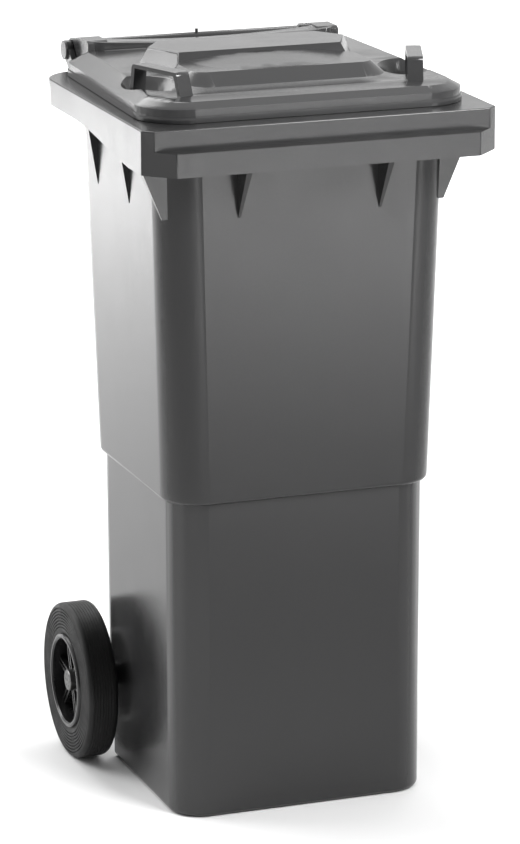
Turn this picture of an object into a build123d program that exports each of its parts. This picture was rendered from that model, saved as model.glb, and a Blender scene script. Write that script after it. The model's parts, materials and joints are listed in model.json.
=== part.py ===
from build123d import *
import math
import os

# ---------------------------------------------------------------- sizes (mm)
# Frame: X to the bin's left and right, +Y to the rear (handle side), +Z up, floor at Z = 0.
# Two-wheeled household bin of the 80 litre class.

# rim and comb
RIM_Z = 880.0
RIM_HALF_W = 224.0
RIM_REAR = 190.0
RIM_REAR_R = 50.0
CHAMFER_Y = -215.0
BAND_FRONT = -227.0
COMB_FRONT = -247.5
LEDGE_Z = 855.4
SKIRT_FRONT_Z = 827.0
SKIRT_SIDE_Z = 848.0
RIM_T = 3.6
RIM_CORNER_R = 3.0
RIM_EDGE_R = 1.5

# tub
TUB_T = 3.8
FLOOR_T = 5.0
BASE_HALF_W = 164.5
BASE_FRONT = -158.5
BASE_REAR = 147.0
BASE_R = 42.0
STEP_Z = 402.0
LOW_TOP_HALF_W = 166.0
LOW_TOP_FRONT = -160.0
LOW_TOP_REAR = 148.0
UP_BOT_HALF_W = 173.0
UP_BOT_FRONT = -168.5
UP_BOT_REAR = 156.0
UP_TOP_HALF_W = 186.5
UP_TOP_FRONT = -182.0
UP_TOP_REAR = 170.0
UP_R = 48.0
SHOULDER_R = 7.0
BASE_EDGE_R = 7.0

# axle recess and axle
AXLE_Y = 124.0
AXLE_Z = 100.0
AXLE_R = 10.0
AXLE_HALF = 217.0
RECESS_Y = 98.0
RECESS_Z = 132.0
LUG_X = (158.0, 62.0)
LUG_T = 12.0
LUG_R = 17.0
LUG_BACK_Y = 141.0

# wheels
WHEEL_R = 100.0
TYRE_BORE_R = 61.0
TYRE_IN_X = 181.0
TYRE_OUT_X = 221.0
RING_OUT_X = 223.5
RING_R = 61.0
RING_WALL = 7.0
CAVITY_R = 54.0
WEB_T = 5.0
WEB_X = 200.0
HUB_BOSS_R = 17.0
HUB_IN_X = 176.0
HUB_OUT_X = 212.0
BUSH_R = 12.5
BUSH_BORE_R = 10.05
SPOKES = 6
SPOKE_T = 3.0
SPOKE_GAP = 7.0
SPACER_R = 14.0
SPACER_BORE_R = 10.0
SPACER_IN_X = 164.0
SPACER_OUT_X = 175.5
CAP_R = 13.5
CAP_IN_X = 212.5
CAP_T = 2.0
CAP_DIMPLE_R = 2.5

# lid
LID_Z = 880.5
LIP_H = 7.5
LIP_STEP = 1.5
LID_T = 3.0
LID_FRONT = -196.0
LID_REAR = 188.0
LID_FRONT_HALF_W = 209.5
LID_REAR_HALF_W = 196.0
LID_FRONT_R = 58.0
LID_REAR_R = 40.0
LID_TOP = 909.0
LID_PROFILE = ((-230, 900.6), (-80, 907.5), (230, 907.3))
LID_SHOULDER_Z = 896.5
LID_BAND_RUN = 28.0
LID_BAND_RISE = 15.0

# raised tiers of the lid
FRONT_TIER_HALF_W = (142.0, 115.0)
FRONT_TIER_FRONT = (-127.0, -95.0)
FRONT_TIER_REAR = (4.0, -18.0)
FRONT_TIER_R = (46.0, 17.0)
FRONT_TIER_Z = 921.0
CROWN_H = 6.0
CROWN_FRONT = -93.0
CROWN_HALF_W = (98.0, 110.0)
CROWN_REAR = -8.0
REAR_TIER = ((-116, -31), (116, -31), (145, 50), (117, 112), (-117, 112), (-145, 50))
REAR_TIER_TOP = ((-105, -5), (105, -5), (128, 44), (104, 82), (-104, 82), (-128, 44))
REAR_TIER_Z = 930.5
TIER_BASE_Z = 898.0

# rear beam of the lid and its hinge arms
BEAM_HALF_W = 160.0
BEAM_FRONT = 157.0
BEAM_Z = 920.0
BEAM_DIP = 7.0
BEAM_R = 12.0
ARM_IN_X = 141.0
ARM_OUT_X = 167.5
HINGE_Y = 232.5
HINGE_Z = 899.0
KNUCKLE_R = 15.0
HINGE_BUSH_R = 9.0
PIN_R = 6.0
PIN_CLEAR = 0.06

# handle of the body
BAR_R = 12.5
BAR_HALF = 140.0
BRACKET_IN_X = 168.5
BRACKET_T = 7.0
INNER_BRACKET_T = 12.0
BAR_SLOT_W = 13.0
BAR_SLOT_HALF = 110.0
NUB_R = 2.0
NUB_H = 4.5
PIN_END_X = 120.0
PIN_HEAD_R = 12.0
PIN_HEAD_T = 3.0

# strap handles on the lid
STRAP_CX = 163.0
STRAP_CY = -105.0
STRAP_TURN = 20.0
STRAP_W = 19.0
STRAP_Z = 932.5
STRAP_TOP_HALF = 42.0
STRAP_FOOT_FRONT = 52.0
STRAP_FOOT_REAR = 47.0
STRAP_T = 4.8
STRAP_FRONT_Z = 900.0
STRAP_REAR_Z = 893.0
SCOOP_CX = 163.0
SCOOP_CY = -72.0
SCOOP_RX = 34.0
SCOOP_RY = 51.0
SCOOP_D = 15.0
SCOOP_SLOPE = 10.0

# small stops between lid and rim
BUFFER_R = 4.5
BUFFER_STEM_R = 2.5
BUFFER_HEAD_T = 2.6
BUFFER_GAP = 0.4
BUFFER_LEN = 10.0
BUFFER_BOSS_R = 6.0
BUFFER_BOSS_Z = 896.8
BUFFER_POINTS = ((-150, -186.5), (150, -186.5), (-189.5, 120), (189.5, 120))

# gussets under the rim
FRONT_RIB_X = 90.0
SIDE_RIB_Y = (80.6, -42.0)
CORNER_RIB_Y = -158.0
RIB_TIP = 1.6
RIB_ROOT = 5.5

OVER = 1.0
TINY = 0.01
SIDES = ((-1, "left"), (1, "right"))

os.makedirs("parts", exist_ok=True)


def tub_section(z, half_w, front, rear, radius, inset=0.0):
    """Rounded rectangle of the tub at one height."""
    with BuildSketch(Plane.XY.offset(z)) as section:
        with Locations((0, (front + rear) / 2)):
            RectangleRounded(2 * (half_w - inset), rear - front - 2 * inset, radius - inset)
    return section.sketch


def rim_outline(z, front, inset=0.0):
    """Plan of the rim: 45 degree front corners, round rear corners."""
    half = RIM_HALF_W
    cut = CHAMFER_Y - front
    points = (
        (-half, RIM_REAR),
        (-half, CHAMFER_Y),
        (-half + cut, front),
        (half - cut, front),
        (half, CHAMFER_Y),
        (half, RIM_REAR),
    )
    with BuildSketch(Plane.XY.offset(z)) as outline:
        with BuildLine():
            Polyline(*points, close=True)
        make_face()
        rear = outline.vertices().group_by(Axis.Y)[-1]
        fillet(rear, RIM_REAR_R)
        if inset:
            offset(amount=-inset, mode=Mode.REPLACE)
    return outline.sketch


def polygon(z, points):
    """Closed polygon at one height."""
    with BuildSketch(Plane.XY.offset(z)) as face:
        with BuildLine():
            Polyline(*points, close=True)
        make_face()
    return face.sketch


def shrink(points, amount):
    """Pull a plan's corners toward its middle by a fixed amount on each axis."""
    return tuple((x - math.copysign(amount, x), y + (amount if y < 0 else -amount)) for x, y in points)


def wedge_rib(profile, z_tip, z_root):
    """Gusset in the XZ plane that thickens from its tip up to the rim."""
    with BuildPart() as rib:
        with BuildSketch(Plane.XZ):
            with BuildLine():
                Polyline(*profile, close=True)
            make_face()
        extrude(amount=RIB_ROOT, both=True)
        with BuildSketch(Plane.YZ):
            with BuildLine():
                Polyline(
                    (-RIB_TIP, z_tip), (RIB_TIP, z_tip), (RIB_ROOT, z_root), (-RIB_ROOT, z_root), close=True
                )
            make_face()
        extrude(amount=RIM_HALF_W * 2, both=True, mode=Mode.INTERSECT)
    return rib.part


# ---------------------------------------------------------------- rim shell
with BuildPart() as rim:
    add(rim_outline(LEDGE_Z, BAND_FRONT))
    extrude(amount=RIM_Z - LEDGE_Z)
    add(rim_outline(SKIRT_FRONT_Z, COMB_FRONT))
    extrude(amount=LEDGE_Z - SKIRT_FRONT_Z)
    add(rim_outline(SKIRT_FRONT_Z, BAND_FRONT, RIM_T))
    extrude(amount=RIM_Z - RIM_T - SKIRT_FRONT_Z, mode=Mode.SUBTRACT)
    add(rim_outline(SKIRT_FRONT_Z, COMB_FRONT, RIM_T))
    extrude(amount=LEDGE_Z - RIM_T - SKIRT_FRONT_Z, mode=Mode.SUBTRACT)
    # the skirt's lower edge sweeps up toward the rear
    with BuildSketch(Plane.YZ):
        with BuildLine():
            sweep_line = Spline(
                (-186, SKIRT_FRONT_Z - OVER),
                (-138, 830.0),
                (-70, 838.0),
                (-16, 844.5),
                (40, SKIRT_SIDE_Z),
                tangents=((1, 0.02), (1, 0.02)),
            )
            Polyline(
                sweep_line @ 1,
                (RIM_REAR + OVER, SKIRT_SIDE_Z),
                (RIM_REAR + OVER, SKIRT_FRONT_Z - 2 * OVER),
                (-186, SKIRT_FRONT_Z - 2 * OVER),
                sweep_line @ 0,
            )
        make_face()
    extrude(amount=RIM_HALF_W + OVER, both=True, mode=Mode.SUBTRACT)
    # soften the upright corners, then the top edge
    upright = rim.edges().filter_by(Axis.Z).filter_by(lambda edge: (edge @ 0.5).Y < CHAMFER_Y + OVER)
    outside = upright.filter_by(
        lambda edge: abs((edge @ 0.5).X) > RIM_HALF_W - TINY
        or ((edge @ 0.5).Y < BAND_FRONT + TINY and (edge @ 0.5).Z > LEDGE_Z)
        or (edge @ 0.5).Y < COMB_FRONT + TINY
    )
    fillet(outside, RIM_CORNER_R)
    fillet(rim.faces().sort_by(Axis.Z)[-1].edges(), RIM_EDGE_R)

# ---------------------------------------------------------------- tub shells
with BuildPart() as upper_tub:
    upper_low = tub_section(STEP_Z, UP_BOT_HALF_W, UP_BOT_FRONT, UP_BOT_REAR, UP_R)
    upper_high = tub_section(RIM_Z, UP_TOP_HALF_W, UP_TOP_FRONT, UP_TOP_REAR, UP_R)
    loft(sections=[upper_low, upper_high])
    fillet(upper_tub.faces().sort_by(Axis.Z)[0].edges(), SHOULDER_R)

with BuildPart() as lower_tub:
    lower_low = tub_section(0, BASE_HALF_W, BASE_FRONT, BASE_REAR, BASE_R)
    lower_high = tub_section(STEP_Z + SHOULDER_R, LOW_TOP_HALF_W, LOW_TOP_FRONT, LOW_TOP_REAR, BASE_R)
    loft(sections=[lower_low, lower_high])
    fillet(lower_tub.faces().sort_by(Axis.Z)[0].edges(), BASE_EDGE_R)

# hollow of the tub, kept clear of the axle recess
with BuildPart() as hollow:
    hollow_1 = tub_section(FLOOR_T, BASE_HALF_W, BASE_FRONT, BASE_REAR, BASE_R, TUB_T)
    hollow_2 = tub_section(STEP_Z + SHOULDER_R, LOW_TOP_HALF_W, LOW_TOP_FRONT, LOW_TOP_REAR, BASE_R, TUB_T)
    loft(sections=[hollow_1, hollow_2])
    fillet(hollow.faces().sort_by(Axis.Z)[0].edges(), TUB_T)
    with BuildSketch(Plane.YZ):
        with Locations((RECESS_Y - TUB_T, 0)):
            Rectangle(100, RECESS_Z + TUB_T, align=(Align.MIN, Align.MIN))
    extrude(amount=RIM_HALF_W, both=True, mode=Mode.SUBTRACT)
    hollow_3 = tub_section(STEP_Z + TUB_T, UP_BOT_HALF_W, UP_BOT_FRONT, UP_BOT_REAR, UP_R, TUB_T)
    hollow_4 = tub_section(RIM_Z + OVER, UP_TOP_HALF_W, UP_TOP_FRONT, UP_TOP_REAR, UP_R, TUB_T)
    loft(sections=[hollow_3, hollow_4])

# ---------------------------------------------------------------- body
RIB_TOP = RIM_Z - RIM_T + OVER
WALL_IN = 4.0
side_profile = (
    (UP_TOP_HALF_W - WALL_IN - 3, 757),
    (UP_TOP_HALF_W - 3, 757),
    (UP_TOP_HALF_W + 18, RIB_TOP),
    (UP_TOP_HALF_W - WALL_IN, RIB_TOP),
)
corner_profile = (
    (UP_TOP_HALF_W - 18, 759),
    (UP_TOP_HALF_W - 6, 759),
    (RIM_HALF_W - RIM_T + OVER, 857),
    (RIM_HALF_W - RIM_T + OVER, RIB_TOP),
    (UP_TOP_HALF_W - 18, RIB_TOP),
)
front_profile = (
    (-UP_TOP_FRONT - WALL_IN, 759),
    (-UP_TOP_FRONT - 2.5, 759),
    (-COMB_FRONT - 12, LEDGE_Z - RIM_T + OVER),
    (-BAND_FRONT - RIM_T + OVER, LEDGE_Z - RIM_T + OVER),
    (-BAND_FRONT - RIM_T + OVER, RIB_TOP),
    (-UP_TOP_FRONT - WALL_IN, RIB_TOP),
)
side_rib = wedge_rib(side_profile, 757, RIB_TOP)
corner_rib = wedge_rib(corner_profile, 759, RIB_TOP)
front_rib = wedge_rib(front_profile, 759, RIB_TOP)

with BuildPart() as bin_body:
    add(rim.part)
    add(upper_tub.part)
    add(lower_tub.part)
    # gussets between the tub and the rim
    for turn in (0, 180):
        for rib_y in SIDE_RIB_Y:
            add(side_rib.rotate(Axis.Z, turn).moved(Location((0, rib_y, 0))))
        add(corner_rib.rotate(Axis.Z, turn).moved(Location((0, CORNER_RIB_Y, 0))))
    for side, name in SIDES:
        add(front_rib.rotate(Axis.Z, -90).moved(Location((side * FRONT_RIB_X, 0, 0))))
    # step in the lower rear where the axle runs
    with BuildSketch(Plane.YZ):
        with Locations((RECESS_Y, -OVER)):
            Rectangle(100, RECESS_Z + OVER, align=(Align.MIN, Align.MIN))
    extrude(amount=RIM_HALF_W, both=True, mode=Mode.SUBTRACT)
    # four lugs that carry the axle
    for lug_x in LUG_X:
        for side, name in SIDES:
            with BuildSketch(Plane.YZ.offset(side * lug_x - LUG_T / 2)):
                with Locations((AXLE_Y, AXLE_Z)):
                    Circle(LUG_R)
                with BuildLine():
                    Polyline(
                        (RECESS_Y - OVER, AXLE_Z - LUG_R - 8),
                        (AXLE_Y, AXLE_Z - LUG_R),
                        (LUG_BACK_Y, AXLE_Z),
                        (LUG_BACK_Y, RECESS_Z + OVER),
                        (RECESS_Y - OVER, RECESS_Z + OVER),
                        close=True,
                    )
                make_face()
            extrude(amount=LUG_T)
    add(hollow.part, mode=Mode.SUBTRACT)
    # handle bar across the rear with an open underside
    with BuildSketch(Plane.YZ.offset(-BAR_HALF)):
        with Locations((HINGE_Y, HINGE_Z)):
            Circle(BAR_R)
    extrude(amount=2 * BAR_HALF)
    with BuildSketch(Plane.YZ.offset(-BAR_SLOT_HALF)):
        with Locations((HINGE_Y, HINGE_Z)):
            Rectangle(BAR_SLOT_W, BAR_R + OVER, align=(Align.CENTER, Align.MAX))
    extrude(amount=2 * BAR_SLOT_HALF, mode=Mode.SUBTRACT)
    with Locations((0, HINGE_Y, HINGE_Z + BAR_R - OVER)):
        Cylinder(NUB_R, NUB_H + OVER, align=(Align.CENTER, Align.CENTER, Align.MIN))
    # brackets that hold the bar and the hinge pins
    for side, name in SIDES:
        for inner, thick in ((BRACKET_IN_X, BRACKET_T), (BAR_HALF - INNER_BRACKET_T, INNER_BRACKET_T)):
            start = inner if side > 0 else -inner - thick
            with BuildSketch(Plane.YZ.offset(start)):
                with Locations((HINGE_Y, HINGE_Z)):
                    Circle(BAR_R)
                with BuildLine():
                    Polyline(
                        (RIM_REAR - RIM_T, SKIRT_SIDE_Z + 4),
                        (HINGE_Y + 3, HINGE_Z - BAR_R + 2),
                        (HINGE_Y - 4, HINGE_Z + BAR_R - 3),
                        (RIM_REAR + 2, RIM_Z - 2),
                        (RIM_REAR - RIM_T, RIM_Z - 2),
                        close=True,
                    )
                make_face()
            extrude(amount=thick)
    # holes for the axle and the hinge pins
    with Locations((0, AXLE_Y, AXLE_Z)):
        Cylinder(AXLE_R, 2 * (LUG_X[0] + LUG_T), rotation=(0, 90, 0), mode=Mode.SUBTRACT)
    for side, name in SIDES:
        with Locations((side * (BRACKET_IN_X + BRACKET_T + PIN_END_X) / 2, HINGE_Y, HINGE_Z)):
            Cylinder(
                PIN_R, BRACKET_IN_X + BRACKET_T - PIN_END_X, rotation=(0, 90, 0), mode=Mode.SUBTRACT
            )
bin_body.part.label = "bin_body"
export_step(bin_body.part, "parts/bin_body.step")


# ---------------------------------------------------------------- lid
def lid_outline(z, inset=0.0):
    """Plan of the lid, a little narrower at the rear."""
    points = (
        (-LID_REAR_HALF_W, LID_REAR),
        (-LID_FRONT_HALF_W, LID_FRONT),
        (LID_FRONT_HALF_W, LID_FRONT),
        (LID_REAR_HALF_W, LID_REAR),
    )
    with BuildSketch(Plane.XY.offset(z)) as outline:
        with BuildLine():
            Polyline(*points, close=True)
        make_face()
        fillet(outline.vertices().group_by(Axis.Y)[0], LID_FRONT_R)
        fillet(outline.vertices().group_by(Axis.Y)[-1], LID_REAR_R)
        if inset:
            offset(amount=-inset, mode=Mode.REPLACE)
    return outline.sketch


def lid_tray(inset, drop, bottom):
    """Shallow tray: upright sides, a sloping band, and a top that rises from the front edge."""
    shoulder = LID_SHOULDER_Z - drop
    with BuildPart() as tray:
        add(lid_outline(bottom, inset))
        extrude(amount=shoulder - bottom)
        band_foot = lid_outline(shoulder, inset)
        band_head = lid_outline(shoulder + LID_BAND_RISE, inset + LID_BAND_RUN)
        loft(sections=[band_foot, band_head], ruled=True)
        with BuildSketch(Plane.YZ):
            with BuildLine():
                crown = ThreePointArc(*[(y, z - drop) for y, z in LID_PROFILE])
                Polyline(
                    crown @ 1,
                    (LID_PROFILE[-1][0], LID_TOP + 20),
                    (LID_PROFILE[0][0], LID_TOP + 20),
                    crown @ 0,
                )
            make_face()
        extrude(amount=RIM_HALF_W, both=True, mode=Mode.SUBTRACT)
    return tray.part


def front_tier_section(z, level, inset):
    """Rounded plan of the front tier: level 0 is its foot, level 1 its top."""
    front = FRONT_TIER_FRONT[level] + inset
    rear = FRONT_TIER_REAR[level] - inset
    with BuildSketch(Plane.XY.offset(z)) as section:
        with Locations((0, (front + rear) / 2)):
            RectangleRounded(2 * (FRONT_TIER_HALF_W[level] - inset), rear - front, FRONT_TIER_R[level] - inset)
    return section.sketch


def tiers(drop, inset, base_z):
    """The two raised tiers in the middle of the lid."""
    with BuildPart() as raised:
        front_foot = front_tier_section(base_z, 0, inset)
        front_head = front_tier_section(FRONT_TIER_Z - drop, 1, inset)
        loft(sections=[front_foot, front_head], ruled=True)
        rear_foot = polygon(base_z, shrink(REAR_TIER, inset))
        rear_head = polygon(REAR_TIER_Z - drop, shrink(REAR_TIER_TOP, inset))
        loft(sections=[rear_foot, rear_head], ruled=True)
    return raised.part


def crown_section(y, half, height):
    """Low arch across the front tier at one depth."""
    with BuildSketch(Plane(origin=(0, y, 0), x_dir=(1, 0, 0), z_dir=(0, -1, 0))) as arch:
        with BuildLine():
            top = ThreePointArc(
                (-half, FRONT_TIER_Z - OVER), (0, FRONT_TIER_Z + height), (half, FRONT_TIER_Z - OVER)
            )
            Polyline(top @ 1, (half, FRONT_TIER_Z - 4), (-half, FRONT_TIER_Z - 4), top @ 0)
        make_face()
    return arch.sketch


def scoop_plan(side, z, grow):
    """Oval plan of a finger scoop, turned like the strap above it."""
    with BuildSketch(Plane.XY.offset(z)) as oval:
        with Locations(Location((side * SCOOP_CX, SCOOP_CY, 0), (0, 0, -side * STRAP_TURN))):
            Ellipse(SCOOP_RX + grow, SCOOP_RY + grow)
    return oval.sketch


def strap(side):
    """One bent strap handle standing over its scoop."""
    with BuildPart() as bow:
        with BuildSketch(Plane.YZ):
            with BuildLine():
                Polyline(
                    (-STRAP_FOOT_FRONT, STRAP_FRONT_Z),
                    (-STRAP_TOP_HALF, STRAP_Z),
                    (STRAP_TOP_HALF, STRAP_Z),
                    (STRAP_FOOT_REAR, STRAP_REAR_Z),
                    (STRAP_FOOT_REAR - STRAP_T - 1, STRAP_REAR_Z),
                    (STRAP_TOP_HALF - STRAP_T - 0.5, STRAP_Z - STRAP_T),
                    (-STRAP_TOP_HALF + STRAP_T + 0.5, STRAP_Z - STRAP_T),
                    (-STRAP_FOOT_FRONT + STRAP_T + 1, STRAP_FRONT_Z),
                    close=True,
                )
            make_face()
        extrude(amount=STRAP_W / 2, both=True)
        corners = bow.edges().filter_by(Axis.X).group_by(Axis.Z)[-1]
        fillet(corners, 5.5)
    turned = bow.part.rotate(Axis.Z, side * STRAP_TURN * -1)
    return turned.moved(Location((side * STRAP_CX, STRAP_CY, 0)))


# bowls of the finger scoops, kept just under the lid's outer skin
with BuildPart() as scoop_bowls:
    for side, name in SIDES:
        add(scoop_plan(side, LID_TOP - SCOOP_D - LID_T, OVER))
    extrude(amount=SCOOP_D + LID_T + OVER)
    add(lid_tray(LIP_STEP + OVER, OVER, LID_Z), mode=Mode.INTERSECT)

with BuildPart() as lid:
    # lip, tray and tiers
    add(lid_outline(LID_Z))
    extrude(amount=LIP_H)
    add(lid_tray(LIP_STEP, 0, LID_Z))
    add(tiers(0, 0, TIER_BASE_Z))
    crown_low = crown_section(CROWN_FRONT, CROWN_HALF_W[0], 0.4)
    crown_high = crown_section(CROWN_REAR, CROWN_HALF_W[1], CROWN_H)
    loft(sections=[crown_low, crown_high], ruled=True)
    # rear beam, lower in its middle
    with BuildSketch(Plane.XY.offset(TIER_BASE_Z)):
        with Locations((0, (BEAM_FRONT + LID_REAR) / 2)):
            RectangleRounded(2 * BEAM_HALF_W, LID_REAR - BEAM_FRONT, BEAM_R)
    extrude(amount=BEAM_Z - TIER_BASE_Z)
    with BuildSketch(Plane.XZ.offset(OVER - BEAM_FRONT)):
        with BuildLine():
            dip = ThreePointArc((-BEAM_HALF_W - 2, BEAM_Z), (0, BEAM_Z - BEAM_DIP), (BEAM_HALF_W + 2, BEAM_Z))
            Polyline(dip @ 1, (BEAM_HALF_W + 2, BEAM_Z + 20), (-BEAM_HALF_W - 2, BEAM_Z + 20), dip @ 0)
        make_face()
    extrude(amount=-(HINGE_Y - BEAM_FRONT), mode=Mode.SUBTRACT)
    # hinge arms
    for side, name in SIDES:
        with BuildSketch(Plane.YZ.offset(ARM_IN_X if side > 0 else -ARM_OUT_X)):
            with Locations((HINGE_Y, HINGE_Z)):
                Circle(KNUCKLE_R)
            with BuildLine():
                Polyline(
                    (BEAM_FRONT + 6, TIER_BASE_Z - 4),
                    (BEAM_FRONT + 6, BEAM_Z - 3),
                    (BEAM_FRONT + 12, BEAM_Z),
                    (HINGE_Y - 32, BEAM_Z),
                    (HINGE_Y + 4, HINGE_Z + KNUCKLE_R - 1),
                    (HINGE_Y + 4, HINGE_Z - KNUCKLE_R + 1),
                    (HINGE_Y - 14, HINGE_Z - KNUCKLE_R + 1),
                    (LID_REAR, TIER_BASE_Z - 8),
                    close=True,
                )
            make_face()
        extrude(amount=ARM_OUT_X - ARM_IN_X)
    # inside of the tray and of the tiers
    add(lid_tray(LIP_STEP + LID_T, LID_T, LID_Z - OVER), mode=Mode.SUBTRACT)
    add(tiers(LID_T, LID_T, TIER_BASE_Z), mode=Mode.SUBTRACT)
    # strap handles over finger scoops
    add(scoop_bowls.part)
    for side, name in SIDES:
        scoop_floor = scoop_plan(side, LID_TOP - SCOOP_D, -SCOOP_SLOPE)
        scoop_mouth = scoop_plan(side, LID_TOP + OVER, 0)
        loft(sections=[scoop_floor, scoop_mouth], mode=Mode.SUBTRACT)
        add(strap(side))
    # bosses that carry the rubber stops
    boss_z = RIM_Z + BUFFER_GAP + BUFFER_HEAD_T
    with Locations(*[(x, y, boss_z) for x, y in BUFFER_POINTS]):
        Cylinder(BUFFER_BOSS_R, BUFFER_BOSS_Z - boss_z, align=(Align.CENTER, Align.CENTER, Align.MIN))
        Cylinder(
            BUFFER_STEM_R, BUFFER_LEN, align=(Align.CENTER, Align.CENTER, Align.MIN), mode=Mode.SUBTRACT
        )
    # bores of the hinge arms
    for side, name in SIDES:
        with Locations((side * (ARM_IN_X + ARM_OUT_X) / 2, HINGE_Y, HINGE_Z)):
            Cylinder(HINGE_BUSH_R, ARM_OUT_X - ARM_IN_X, rotation=(0, 90, 0), mode=Mode.SUBTRACT)
lid.part.label = "lid"
export_step(lid.part, "parts/lid.step")

# ---------------------------------------------------------------- hinge pins and bushes
for side, name in SIDES:
    arm_mid = side * (ARM_IN_X + ARM_OUT_X) / 2
    with BuildPart() as hinge_bush:
        with Locations((arm_mid, HINGE_Y, HINGE_Z)):
            Cylinder(HINGE_BUSH_R, ARM_OUT_X - ARM_IN_X, rotation=(0, 90, 0))
            Cylinder(PIN_R + PIN_CLEAR, ARM_OUT_X, rotation=(0, 90, 0), mode=Mode.SUBTRACT)
    hinge_bush.part.label = "hinge_bush_" + name
    export_step(hinge_bush.part, "parts/hinge_bush_" + name + ".step")

    bracket_out = BRACKET_IN_X + BRACKET_T
    with BuildPart() as hinge_pin:
        with Locations((side * (bracket_out + PIN_END_X) / 2, HINGE_Y, HINGE_Z)):
            Cylinder(PIN_R, bracket_out - PIN_END_X, rotation=(0, 90, 0))
        with Locations((side * (bracket_out + PIN_HEAD_T / 2), HINGE_Y, HINGE_Z)):
            Cylinder(PIN_HEAD_R, PIN_HEAD_T, rotation=(0, 90, 0))
        outer = hinge_pin.faces().sort_by(Axis.X)[-1 if side > 0 else 0]
        fillet(outer.edges(), 1.0)
    hinge_pin.part.label = "hinge_pin_" + name
    export_step(hinge_pin.part, "parts/hinge_pin_" + name + ".step")

# ---------------------------------------------------------------- lid buffers
with BuildPart() as lid_buffers:
    with Locations(*[(x, y, RIM_Z + BUFFER_GAP) for x, y in BUFFER_POINTS]):
        Cylinder(BUFFER_R, BUFFER_HEAD_T, align=(Align.CENTER, Align.CENTER, Align.MIN))
        Cylinder(BUFFER_STEM_R, BUFFER_HEAD_T + BUFFER_LEN, align=(Align.CENTER, Align.CENTER, Align.MIN))
lid_buffers.part.label = "lid_buffers"
export_step(lid_buffers.part, "parts/lid_buffers.step")

# ---------------------------------------------------------------- axle
with BuildPart() as axle:
    with Locations((0, AXLE_Y, AXLE_Z)):
        Cylinder(AXLE_R, 2 * AXLE_HALF, rotation=(0, 90, 0))
    chamfer(axle.edges().filter_by(GeomType.CIRCLE), 1.0)
axle.part.label = "axle"
export_step(axle.part, "parts/axle.step")


# ---------------------------------------------------------------- wheels
def ring_profile(points):
    """Turn a closed outline of (distance along the axle, radius) about the axle."""
    plane = Plane(origin=(0, AXLE_Y, AXLE_Z), x_dir=(1, 0, 0), z_dir=(0, -1, 0))
    with BuildPart() as ring:
        with BuildSketch(plane):
            with BuildLine():
                Polyline(*points, close=True)
            make_face()
        revolve(axis=Axis((0, AXLE_Y, AXLE_Z), (1, 0, 0)))
    return ring.part


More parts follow.
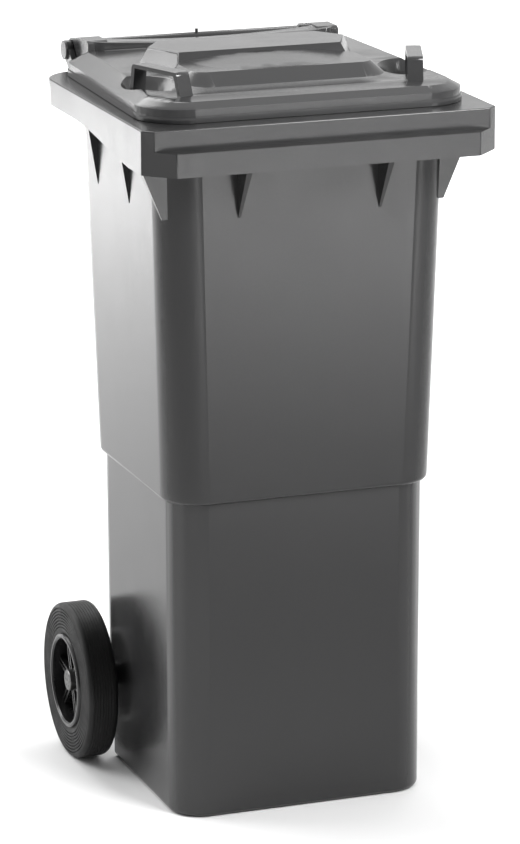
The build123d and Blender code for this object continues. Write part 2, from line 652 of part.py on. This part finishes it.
for side, name in SIDES:
    # tyre with rounded shoulders and shallow sidewall steps
    tyre_points = (
        (side * (TYRE_IN_X + 2), TYRE_BORE_R),
        (side * TYRE_IN_X, TYRE_BORE_R + 4),
        (side * TYRE_IN_X, WHEEL_R - 6.5),
        (side * (TYRE_IN_X + 1.6), WHEEL_R - 1.8),
        (side * (TYRE_IN_X + 5.5), WHEEL_R),
        (side * (TYRE_OUT_X - 5.5), WHEEL_R),
        (side * (TYRE_OUT_X - 1.6), WHEEL_R - 1.8),
        (side * TYRE_OUT_X, WHEEL_R - 6.5),
        (side * TYRE_OUT_X, TYRE_BORE_R + 4),
        (side * (TYRE_OUT_X - 2), TYRE_BORE_R),
    )
    with BuildPart() as tyre:
        add(ring_profile(tyre_points))
    tyre.part.label = "tyre_" + name
    export_step(tyre.part, "parts/tyre_" + name + ".step")

    hub_points = (
        (side * (TYRE_IN_X + 2), RING_R),
        (side * (TYRE_OUT_X - 2), RING_R),
        (side * (RING_OUT_X - 1), RING_R - 1),
        (side * RING_OUT_X, RING_R - 3),
        (side * RING_OUT_X, CAVITY_R + 1.5),
        (side * (RING_OUT_X - 2), CAVITY_R),
        (side * (WEB_X + WEB_T / 2), CAVITY_R - 1),
        (side * (WEB_X + WEB_T / 2), HUB_BOSS_R),
        (side * HUB_OUT_X, HUB_BOSS_R - 2.5),
        (side * HUB_OUT_X, BUSH_R),
        (side * HUB_IN_X, BUSH_R),
        (side * HUB_IN_X, HUB_BOSS_R),
        (side * (WEB_X - WEB_T / 2), HUB_BOSS_R),
        (side * (WEB_X - WEB_T / 2), CAVITY_R),
        (side * (TYRE_IN_X + 2), CAVITY_R + 1),
    )
    with BuildPart() as wheel_hub:
        add(ring_profile(hub_points))
        # pairs of thin ribs on the web, like spokes
        for index in range(SPOKES):
            angle = math.radians(index * 360 / SPOKES + 12)
            for shift in (-SPOKE_GAP, SPOKE_GAP):
                mid_r = (HUB_BOSS_R + CAVITY_R) / 2 - 1
                y = AXLE_Y + mid_r * math.cos(angle) - shift / 2 * math.sin(angle)
                z = AXLE_Z + mid_r * math.sin(angle) + shift / 2 * math.cos(angle)
                with Locations(Location((side * (WEB_X + 4), y, z), (math.degrees(angle), 0, 0))):
                    Box(18, CAVITY_R - HUB_BOSS_R + 4, SPOKE_T)
    wheel_hub.part.label = "wheel_hub_" + name
    export_step(wheel_hub.part, "parts/wheel_hub_" + name + ".step")

    with BuildPart() as wheel_bush:
        with Locations((side * (HUB_IN_X + HUB_OUT_X) / 2, AXLE_Y, AXLE_Z)):
            Cylinder(BUSH_R, HUB_OUT_X - HUB_IN_X, rotation=(0, 90, 0))
            Cylinder(BUSH_BORE_R, HUB_OUT_X, rotation=(0, 90, 0), mode=Mode.SUBTRACT)
    wheel_bush.part.label = "wheel_bush_" + name
    export_step(wheel_bush.part, "parts/wheel_bush_" + name + ".step")

    with BuildPart() as axle_spacer:
        with Locations((side * (SPACER_IN_X + SPACER_OUT_X) / 2, AXLE_Y, AXLE_Z)):
            Cylinder(SPACER_R, SPACER_OUT_X - SPACER_IN_X, rotation=(0, 90, 0))
            Cylinder(SPACER_BORE_R, SPACER_OUT_X, rotation=(0, 90, 0), mode=Mode.SUBTRACT)
    axle_spacer.part.label = "axle_spacer_" + name
    export_step(axle_spacer.part, "parts/axle_spacer_" + name + ".step")

    cap_points = (
        (side * CAP_IN_X, AXLE_R),
        (side * CAP_IN_X, CAP_R),
        (side * (AXLE_HALF + CAP_T - 1), CAP_R),
        (side * (AXLE_HALF + CAP_T), CAP_R - 1),
        (side * (AXLE_HALF + CAP_T), CAP_DIMPLE_R),
        (side * (AXLE_HALF + CAP_T - 0.8), CAP_DIMPLE_R - 1),
        (side * (AXLE_HALF + CAP_T - 0.8), 0),
        (side * AXLE_HALF, 0),
        (side * AXLE_HALF, AXLE_R),
    )
    with BuildPart() as axle_cap:
        add(ring_profile(cap_points))
    axle_cap.part.label = "axle_cap_" + name
    export_step(axle_cap.part, "parts/axle_cap_" + name + ".step")
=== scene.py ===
import json
import math

import bmesh
import bpy
from mathutils import Matrix, Vector


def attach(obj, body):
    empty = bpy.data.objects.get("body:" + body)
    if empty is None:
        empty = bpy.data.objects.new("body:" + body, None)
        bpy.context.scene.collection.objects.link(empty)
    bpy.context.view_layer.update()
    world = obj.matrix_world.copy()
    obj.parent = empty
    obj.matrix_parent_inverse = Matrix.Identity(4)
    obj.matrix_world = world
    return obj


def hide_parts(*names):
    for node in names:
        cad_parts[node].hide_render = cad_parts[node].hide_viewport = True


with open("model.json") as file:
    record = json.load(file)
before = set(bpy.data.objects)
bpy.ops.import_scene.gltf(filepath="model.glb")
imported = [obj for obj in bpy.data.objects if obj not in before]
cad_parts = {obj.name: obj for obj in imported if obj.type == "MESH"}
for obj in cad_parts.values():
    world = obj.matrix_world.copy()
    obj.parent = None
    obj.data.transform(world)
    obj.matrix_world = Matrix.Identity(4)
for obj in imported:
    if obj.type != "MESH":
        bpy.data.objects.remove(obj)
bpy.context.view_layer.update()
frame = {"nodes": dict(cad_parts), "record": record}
nodes = frame["nodes"]
scene = bpy.context.scene

# ---------------------------------------------------------------- sizes (m)
AXLE = Vector((0.0, 0.124, 0.100))
SIDES = ((-1, "left"), (1, "right"))

# Edge rounding of the two large mouldings
BODY_EDGE_WIDTH = 0.0009
LID_EDGE_WIDTH = 0.0007
EDGE_SEGMENTS = 2
SEAM_GAP = 0.00002

# Tyre: radii, and distances from the middle of the bin along the axle
TYRE_BORE_R = 0.0610
TYRE_R = 0.1000
TYRE_INNER_X = 0.1810
TYRE_OUTER_X = 0.2210
TYRE_BORE_CHAMFER = 0.002
TYRE_SHOULDER = 0.0055
TYRE_STEPS = 144
RING_COUNT = 7
RING_FIRST_R = 0.0655
RING_LAST_R = 0.0935
RING_DEPTH = 0.0015
RING_CUT = (0.55, 0.68, 0.86)
SHOULDER_CURVE = ((0.0004, 0.0962), (0.0016, 0.0982), (0.0034, 0.0994))
GROOVE_COUNT = 8
GROOVE_DEPTH = 0.0007
GROOVE_HALF_TOP = 0.0006
GROOVE_HALF_FLOOR = 0.0003

# Pips on the axle caps
CAP_FACE_X = 0.219
DOT_R = 0.0013
DOT_TAPER = 0.8
DOT_RING_R = 0.0078
DOT_RISE = 0.0002
DOT_COUNT = 6
DOT_SEGMENTS = 16

SMOOTH_ANGLE = 35.0
TYRE_SMOOTH_ANGLE = 30.0

# ---------------------------------------------------------------- materials
MIX_A, MIX_B, MIX_RESULT = 6, 7, 2
PLASTIC_TINT = (1.0, 1.0, 1.02)
PLASTIC_SPECULAR = 0.5
RUBBER_SPECULAR = 0.3
DUST_GREY = 0.03


class Nodes:
    """Short hand for building one node material."""

    def __init__(self, name):
        self.mat = bpy.data.materials.new(name)
        self.mat.use_nodes = True
        self.tree = self.mat.node_tree
        self.tree.nodes.clear()
        self.out = self.add("ShaderNodeOutputMaterial")
        self.bsdf = self.add("ShaderNodeBsdfPrincipled")
        self.link(self.bsdf, "BSDF", self.out, "Surface")
        self.coord = self.add("ShaderNodeTexCoord")

    def add(self, kind):
        return self.tree.nodes.new(kind)

    def link(self, a, out, b, into):
        self.tree.links.new(a.outputs[out], b.inputs[into])

    def set(self, **values):
        """Set inputs of the surface shader; an underscore stands for a space."""
        for key, value in values.items():
            self.bsdf.inputs[key.replace("_", " ")].default_value = value

    def noise(self, scale, detail=3.0, rough=0.55, stretch=(1, 1, 1)):
        """Noise in the object's own coordinates, stretched along its axes."""
        mapping = self.add("ShaderNodeMapping")
        mapping.inputs["Scale"].default_value = stretch
        self.link(self.coord, "Object", mapping, "Vector")
        noise = self.add("ShaderNodeTexNoise")
        noise.inputs["Scale"].default_value = scale
        noise.inputs["Detail"].default_value = detail
        noise.inputs["Roughness"].default_value = rough
        self.link(mapping, "Vector", noise, "Vector")
        return noise

    def ramp(self, source, out, low, high, at=(0.35, 0.65)):
        """Map the source's range `at` to low...high."""
        ramp = self.add("ShaderNodeMapRange")
        ramp.inputs["From Min"].default_value = at[0]
        ramp.inputs["From Max"].default_value = at[1]
        ramp.inputs["To Min"].default_value = low
        ramp.inputs["To Max"].default_value = high
        self.link(source, out, ramp, "Value")
        return ramp

    def mix(self, factor, a, b):
        """Blend colour a into colour b; a may be the mix node that makes it."""
        mix = self.add("ShaderNodeMix")
        mix.data_type = "RGBA"
        self.link(factor, "Result", mix, "Factor")
        if isinstance(a, tuple):
            mix.inputs[MIX_A].default_value = (*a, 1.0)
        else:
            self.link(a, MIX_RESULT, mix, MIX_A)
        mix.inputs[MIX_B].default_value = (*b, 1.0)
        return mix

    def bump(self, height, strength, distance, under=None):
        """Bump from a noise node, laid over the bump node `under`."""
        bump = self.add("ShaderNodeBump")
        bump.inputs["Strength"].default_value = strength
        bump.inputs["Distance"].default_value = distance
        self.link(height, "Fac", bump, "Height")
        if under is not None:
            self.link(under, "Normal", bump, "Normal")
        return bump


def grey(value, tint=(1.0, 1.0, 1.0)):
    return tuple(value * t for t in tint)


def moulded_plastic(name, base, rough):
    """Injection-moulded plastic: fine grain, pale flecks, flow marks, and a painted highlight
    that pales the sharp convex edges.
    """
    m = Nodes(name)
    flow = m.noise(5.0, 3.0, 0.5, (1, 1, 0.35))
    fleck = m.noise(900.0, 2.0, 0.6)
    scuff = m.noise(26.0, 4.0, 0.6, (1, 1, 0.6))
    # The last share, 1.4, is the colour of the painted edge highlight.
    dark, pale, fleck_tone, highlight_tone = (
        grey(base * share, PLASTIC_TINT) for share in (0.97, 1.03, 1.3, 1.4)
    )
    tone = m.mix(m.ramp(flow, "Fac", 0.0, 1.0), dark, pale)
    speck = m.mix(m.ramp(fleck, "Fac", 0.0, 0.3), tone, fleck_tone)
    # Painted highlight: sharp convex edges (high pointiness) are painted paler in place of the
    # light that rounded edges catch.
    edge = m.add("ShaderNodeNewGeometry")
    painted_edge_highlight = m.mix(m.ramp(edge, "Pointiness", 0.0, 0.45, (0.53, 0.62)), speck, highlight_tone)
    m.link(painted_edge_highlight, MIX_RESULT, m.bsdf, "Base Color")
    m.link(m.ramp(scuff, "Fac", rough - 0.02, rough + 0.03), "Result", m.bsdf, "Roughness")
    wave = m.bump(m.noise(7.0, 2.0, 0.4), 0.06, 0.002)
    grain = m.bump(m.noise(1400.0, 2.0, 0.5), 0.22, 0.0003, wave)
    m.link(grain, "Normal", m.bsdf, "Normal")
    m.set(Specular_IOR_Level=PLASTIC_SPECULAR)
    return m.mat


def rubber(name, base, rough):
    """Solid rubber: matt, faint mould mottling and a little dust."""
    m = Nodes(name)
    mottle = m.noise(60.0, 5.0, 0.6)
    dust = m.noise(18.0, 4.0, 0.6)
    tone = m.mix(m.ramp(mottle, "Fac", 0.0, 1.0), grey(base * 0.8), grey(base * 1.3))
    dusty = m.mix(m.ramp(dust, "Fac", 0.0, 0.18, (0.5, 0.8)), tone, grey(DUST_GREY))
    m.link(dusty, MIX_RESULT, m.bsdf, "Base Color")
    m.link(m.ramp(mottle, "Fac", rough - 0.06, rough + 0.08), "Result", m.bsdf, "Roughness")
    m.link(m.bump(m.noise(1100.0, 3.0, 0.6), 0.25, 0.0003), "Normal", m.bsdf, "Normal")
    m.set(Specular_IOR_Level=RUBBER_SPECULAR)
    return m.mat


def plated_steel(name, base, rough):
    """Zinc-plated steel: fine turning marks round the axle, blotchy passivation."""
    m = Nodes(name)
    turning = m.noise(500.0, 2.0, 0.5, (6, 0.4, 0.4))
    blotch = m.noise(45.0, 4.0, 0.6)
    dark, pale = grey(base * 0.8, (1, 1, 0.97)), grey(base * 1.1)
    tone = m.mix(m.ramp(blotch, "Fac", 0.0, 1.0), dark, pale)
    m.link(tone, MIX_RESULT, m.bsdf, "Base Color")
    m.set(Metallic=1.0)
    m.link(m.ramp(blotch, "Fac", rough - 0.05, rough + 0.12), "Result", m.bsdf, "Roughness")
    m.link(m.bump(turning, 0.15, 0.0002), "Normal", m.bsdf, "Normal")
    return m.mat


# Slot, kind of material, tone, roughness
MATERIALS = {
    slot: kind(slot, base, rough) for slot, kind, base, rough in (
        ("body_plastic", moulded_plastic, 0.020, 0.18),
        ("lid_plastic", moulded_plastic, 0.030, 0.17),
        ("pin_plastic", moulded_plastic, 0.05, 0.3),
        ("bush_plastic", moulded_plastic, 0.035, 0.35),
        ("wheel_plastic", moulded_plastic, 0.009, 0.25),
        ("tyre_rubber", rubber, 0.005, 0.5),
        ("stop_rubber", rubber, 0.02, 0.7),
        ("axle_steel", plated_steel, 0.5, 0.35),
        ("cap_steel", plated_steel, 0.16, 0.4),
    )
}


def paint(obj, slot_name):
    obj.data.materials.clear()
    obj.data.materials.append(MATERIALS[slot_name])
    for poly in obj.data.polygons:
        poly.material_index = 0


def soften(obj, width):
    """Close the seams of a CAD node and round its sharp edges a little."""
    weld = obj.modifiers.new("weld", "WELD")
    weld.merge_threshold = SEAM_GAP
    bevel = obj.modifiers.new("bevel", "BEVEL")
    bevel.width = width
    bevel.segments = EDGE_SEGMENTS
    bevel.limit_method = "ANGLE"
    bevel.angle_limit = math.radians(SMOOTH_ANGLE)
    bevel.harden_normals = True


SLOTS = {row["node"]: row["material_slot"] for row in frame["record"]["subparts"]}
for node_name, node in nodes.items():
    paint(node, SLOTS[node_name])


# ---------------------------------------------------------------- mesh helpers
def mesh_object(name, bm, smooth_angle=SMOOTH_ANGLE):
    bmesh.ops.recalc_face_normals(bm, faces=bm.faces)
    mesh = bpy.data.meshes.new(name)
    bm.to_mesh(mesh)
    bm.free()
    obj = bpy.data.objects.new(name, mesh)
    scene.collection.objects.link(obj)
    for poly in mesh.polygons:
        poly.use_smooth = True
    mesh.set_sharp_from_angle(angle=math.radians(smooth_angle))
    return obj


def lathe(name, outline, steps, smooth_angle):
    """Closed outline of (x, radius) turned about the axle."""
    bm = bmesh.new()
    rings = []
    for i in range(steps):
        turn = 2 * math.pi * i / steps
        c, s = math.cos(turn), math.sin(turn)
        rings.append([bm.verts.new((x, AXLE.y + r * c, AXLE.z + r * s)) for x, r in outline])
    count = len(outline)
    for i in range(steps):
        a, b = rings[i], rings[(i + 1) % steps]
        for j in range(count):
            k = (j + 1) % count
            bm.faces.new((a[j], a[k], b[k], b[j]))
    return mesh_object(name, bm, smooth_angle)


# ---------------------------------------------------------------- tyres
def sidewall():
    """(depth in from the wall, radius) from the bore to the tread: rings, then a shoulder."""
    wall = []
    for i in range(RING_COUNT):
        r = RING_FIRST_R + (RING_LAST_R - RING_FIRST_R) * i / RING_COUNT
        w = (RING_LAST_R - RING_FIRST_R) / RING_COUNT
        crest_end, floor_start, floor_end = (r + w * share for share in RING_CUT)
        wall += [(0.0, r), (0.0, crest_end), (RING_DEPTH, floor_start), (RING_DEPTH, floor_end)]
    return wall + [(0.0, RING_LAST_R), *SHOULDER_CURVE, (TYRE_SHOULDER, TYRE_R)]


def tread():
    """(x, radius) across the tread from the outer shoulder, with shallow line grooves."""
    floor_r = TYRE_R - GROOVE_DEPTH
    width = (TYRE_OUTER_X - TYRE_SHOULDER) - (TYRE_INNER_X + TYRE_SHOULDER)
    lines = []
    for i in range(GROOVE_COUNT):
        x = TYRE_OUTER_X - TYRE_SHOULDER - width * (i + 0.5) / GROOVE_COUNT
        lines += [
            (x + GROOVE_HALF_TOP, TYRE_R), (x + GROOVE_HALF_FLOOR, floor_r),
            (x - GROOVE_HALF_FLOOR, floor_r), (x - GROOVE_HALF_TOP, TYRE_R),
        ]
    return lines


def tyre_outline(side):
    """Closed section of one tyre, from its bore's outer edge round to its inner edge."""
    wall = sidewall()
    points = [(TYRE_OUTER_X - TYRE_BORE_CHAMFER, TYRE_BORE_R)]
    points += [(TYRE_OUTER_X - d, r) for d, r in wall]
    points += tread()
    points += [(TYRE_INNER_X + d, r) for d, r in reversed(wall)]
    points += [(TYRE_INNER_X + TYRE_BORE_CHAMFER, TYRE_BORE_R)]
    return [(side * x, r) for x, r in points]


for side, name in SIDES:
    tyre = lathe("tyre_ringed_" + name, tyre_outline(side), TYRE_STEPS, TYRE_SMOOTH_ANGLE)
    paint(tyre, "tyre_rubber")
    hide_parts("tyre_" + name)
    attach(tyre, "wheel_" + name)


# ---------------------------------------------------------------- axle cap pips
def cap_dots(side, name):
    """Ring of small dark pips that stand just proud of an axle cap's face."""
    bm = bmesh.new()
    for i in range(DOT_COUNT):
        turn = 2 * math.pi * i / DOT_COUNT
        at = AXLE + Vector((
            side * CAP_FACE_X, DOT_RING_R * math.cos(turn), DOT_RING_R * math.sin(turn),
        ))
        bmesh.ops.create_cone(
            bm, cap_ends=True, segments=DOT_SEGMENTS,
            radius1=DOT_R, radius2=DOT_R * DOT_TAPER, depth=2 * DOT_RISE,
            matrix=Matrix.Translation(at) @ Matrix.Rotation(math.radians(90), 4, "Y"),
        )
    dots = mesh_object("cap_dots_" + name, bm)
    paint(dots, "wheel_plastic")
    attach(dots, "bin")


for side, name in SIDES:
    cap_dots(side, name)

soften(nodes["bin_body"], BODY_EDGE_WIDTH)
soften(nodes["lid"], LID_EDGE_WIDTH)

# ---------------------------------------------------------------- floor
FLOOR_HALF = 5.0
FLOOR_GREY = 0.9
FLOOR_ROUGHNESS = 0.9
FLOOR_SPECULAR = 0.2


def floor_material():
    m = Nodes("pale_floor")
    m.set(
        Base_Color=(*grey(FLOOR_GREY), 1),
        Roughness=FLOOR_ROUGHNESS,
        Specular_IOR_Level=FLOOR_SPECULAR,
    )
    return m.mat


floor_mesh = bpy.data.meshes.new("floor")
floor_mesh.from_pydata(
    [(x * FLOOR_HALF, y * FLOOR_HALF, 0) for x, y in ((-1, -1), (1, -1), (1, 1), (-1, 1))],
    [], [(0, 1, 2, 3)],
)
floor = bpy.data.objects.new("floor", floor_mesh)
scene.collection.objects.link(floor)
floor.data.materials.append(floor_material())


# ---------------------------------------------------------------- lights
def area_light(name, location, target, size, power, spread):
    """Square lamp of one size (m) and power (W) with its spread in degrees."""
    data = bpy.data.lights.new(name, "AREA")
    data.shape = "SQUARE"
    data.size = size
    data.energy = power
    data.spread = math.radians(spread)
    obj = bpy.data.objects.new(name, data)
    obj.location = location
    direction = Vector(target) - Vector(location)
    obj.rotation_mode = "QUATERNION"
    obj.rotation_quaternion = direction.to_track_quat("-Z", "Y")
    scene.collection.objects.link(obj)


# The three boxes light the bin; the washes light the floor in front of it and behind it,
# which the glossy walls mirror as their soft gradients.
area_light("left_box", (-2.3, 1.7, 2.1), (0, 0, 0.75), 1.6, 25.0, 120.0)
area_light("back_top_box", (-0.3, 2.4, 2.9), (0, 0, 0.6), 2.0, 42.0, 180.0)
area_light("front_box", (0.7, -1.35, 1.75), (0.05, -0.2, 0.85), 0.8, 9.0, 70.0)
area_light("front_wash", (1.2, -3.4, 2.0), (1.2, -3.4, 0.0), 1.7, 82.0, 90.0)
area_light("backdrop_wash", (-1.4, 4.0, 2.4), (-1.4, 3.9, 0.0), 2.0, 96.0, 90.0)
area_light("backdrop_wash_right", (2.6, 3.6, 3.0), (2.6, 3.5, 0.0), 2.4, 110.0, 120.0)

# ---------------------------------------------------------------- sky
world = bpy.data.worlds.new("studio")
scene.world = world
world.use_nodes = True
sky = world.node_tree
sky.nodes.clear()
sky_out = sky.nodes.new("ShaderNodeOutputWorld")
sky_light = sky.nodes.new("ShaderNodeBackground")
sky_light.inputs["Strength"].default_value = 1.0
sky.links.new(sky_light.outputs["Background"], sky_out.inputs["Surface"])
sky_coord = sky.nodes.new("ShaderNodeTexCoord")
sky_axes = sky.nodes.new("ShaderNodeSeparateXYZ")
sky.links.new(sky_coord.outputs["Generated"], sky_axes.inputs["Vector"])


def sky_step(axis, start, end, low, high):
    """Smooth step of the sky's brightness along one axis."""
    step = sky.nodes.new("ShaderNodeMapRange")
    step.interpolation_type = "SMOOTHSTEP"
    step.inputs["From Min"].default_value = start
    step.inputs["From Max"].default_value = end
    step.inputs["To Min"].default_value = low
    step.inputs["To Max"].default_value = high
    sky.links.new(sky_axes.outputs[axis], step.inputs["Value"])
    return step


# Dim at the front and white at the back, and white below the horizon all round
steps = (sky_step("Y", -0.9, 0.5, 0.22, 1.05), sky_step("Z", -0.06, 0.04, 1.5, 0.0))
brightest = sky.nodes.new("ShaderNodeMath")
brightest.operation = "MAXIMUM"
for i, step in enumerate(steps):
    sky.links.new(step.outputs["Result"], brightest.inputs[i])
sky.links.new(brightest.outputs["Value"], sky_light.inputs["Color"])

# ---------------------------------------------------------------- camera
CAM_AT = (-1.6908, -4.6559, 1.7960)
CAM_YAW, CAM_PITCH, CAM_ROLL = math.radians(19.967), math.radians(13.762), math.radians(-0.175)
CAM_LENS = 174.6
CAM_SENSOR = 36.0
CAM_SHIFT = -0.1185

forward = Vector((
    math.sin(CAM_YAW) * math.cos(CAM_PITCH), math.cos(CAM_YAW) * math.cos(CAM_PITCH),
    -math.sin(CAM_PITCH),
))
level_right = Vector((math.cos(CAM_YAW), -math.sin(CAM_YAW), 0.0))
level_up = level_right.cross(forward)
right = level_right * math.cos(CAM_ROLL) + level_up * math.sin(CAM_ROLL)
up = level_up * math.cos(CAM_ROLL) - level_right * math.sin(CAM_ROLL)
cam_data = bpy.data.cameras.new("camera")
cam_data.lens = CAM_LENS
cam_data.sensor_width = CAM_SENSOR
cam_data.shift_y = CAM_SHIFT
cam = bpy.data.objects.new("camera", cam_data)
cam.matrix_world = Matrix((
    (right.x, up.x, -forward.x, CAM_AT[0]),
    (right.y, up.y, -forward.y, CAM_AT[1]),
    (right.z, up.z, -forward.z, CAM_AT[2]),
    (0, 0, 0, 1),
))
scene.collection.objects.link(cam)
scene.camera = cam
scene.view_settings.view_transform = "Standard"
